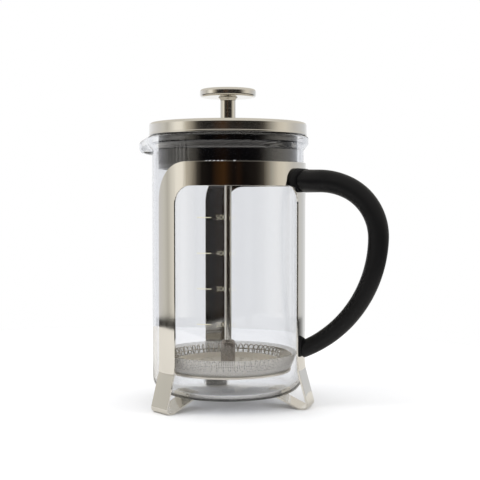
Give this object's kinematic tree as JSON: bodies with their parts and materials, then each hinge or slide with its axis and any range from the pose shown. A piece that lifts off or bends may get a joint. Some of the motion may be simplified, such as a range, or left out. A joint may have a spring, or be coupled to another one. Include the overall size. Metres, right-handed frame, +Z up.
{
  "type": "french press",
  "caption": "Coffee press: clear glass beaker with spout in a banded steel frame with folded feet, black D handle, steel lid, strainer and plunger with spring filter.",
  "frame": {"origin": "on the beaker's axis, at the level of the table that the feet stand on", "axes": "+Z up along the plunger, +X towards the handle, so the spout points to -X; the press is mirror-symmetric about the XZ plane"},
  "size_m": [0.1473, 0.0924, 0.1788],
  "materials": {
    "brushed_steel_frame": "brushed lengthwise",
    "brushed_steel_lid": "spun and brushed in circles",
    "turned_steel": "turned, satin",
    "filter_steel": "stamped, bright",
    "spring_steel": "drawn wire, bright",
    "woven_steel": "fine woven wire",
    "fastener_steel": "bright",
    "insert_brass": "turned",
    "soft_touch_black": "soft-touch coated",
    "strainer_black": "moulded, satin gloss",
    "beaker_glass": "clear borosilicate"
  },
  "bodies": {
    "frame": {"frame": "brushed_steel_frame", "handle_grip": "soft_touch_black", "handle_upper_saddle": "soft_touch_black", "handle_lower_saddle": "soft_touch_black", "handle_screws": "fastener_steel", "handle_thread_inserts": "insert_brass"},
    "beaker": {"beaker": "beaker_glass"},
    "guide": {"lid_bush": "turned_steel", "lid_bush_ring": "fastener_steel"},
    "lid": {"lid_cap": "brushed_steel_lid", "lid_strainer": "strainer_black"},
    "plunger": {"plunger_rod": "turned_steel", "knob": "turned_steel", "knob_neck": "turned_steel", "filter_hub": "turned_steel", "spiral_plate": "filter_steel", "spring_coil": "spring_steel", "mesh_screen": "woven_steel", "cross_plate": "filter_steel", "cross_plate_nut": "fastener_steel"}
  },
  "joints": [
    {"name": "beaker_lift", "type": "slide", "parent": "frame", "child": "beaker", "axis": [0, 0, 1], "range_m": [0, 0.135]},
    {"name": "lid_lift", "type": "slide", "parent": "beaker", "child": "guide", "axis": [0, 0, 1], "range_m": [0, 0.14]},
    {"name": "lid_turn", "type": "hinge", "parent": "guide", "child": "lid", "pos_m": [0, 0, 0.155], "axis": [0, 0, 1], "continuous": true},
    {"name": "plunger_slide", "type": "slide", "parent": "guide", "child": "plunger", "axis": [0, 0, 1], "range_m": [0, 0.1]}
  ]
}
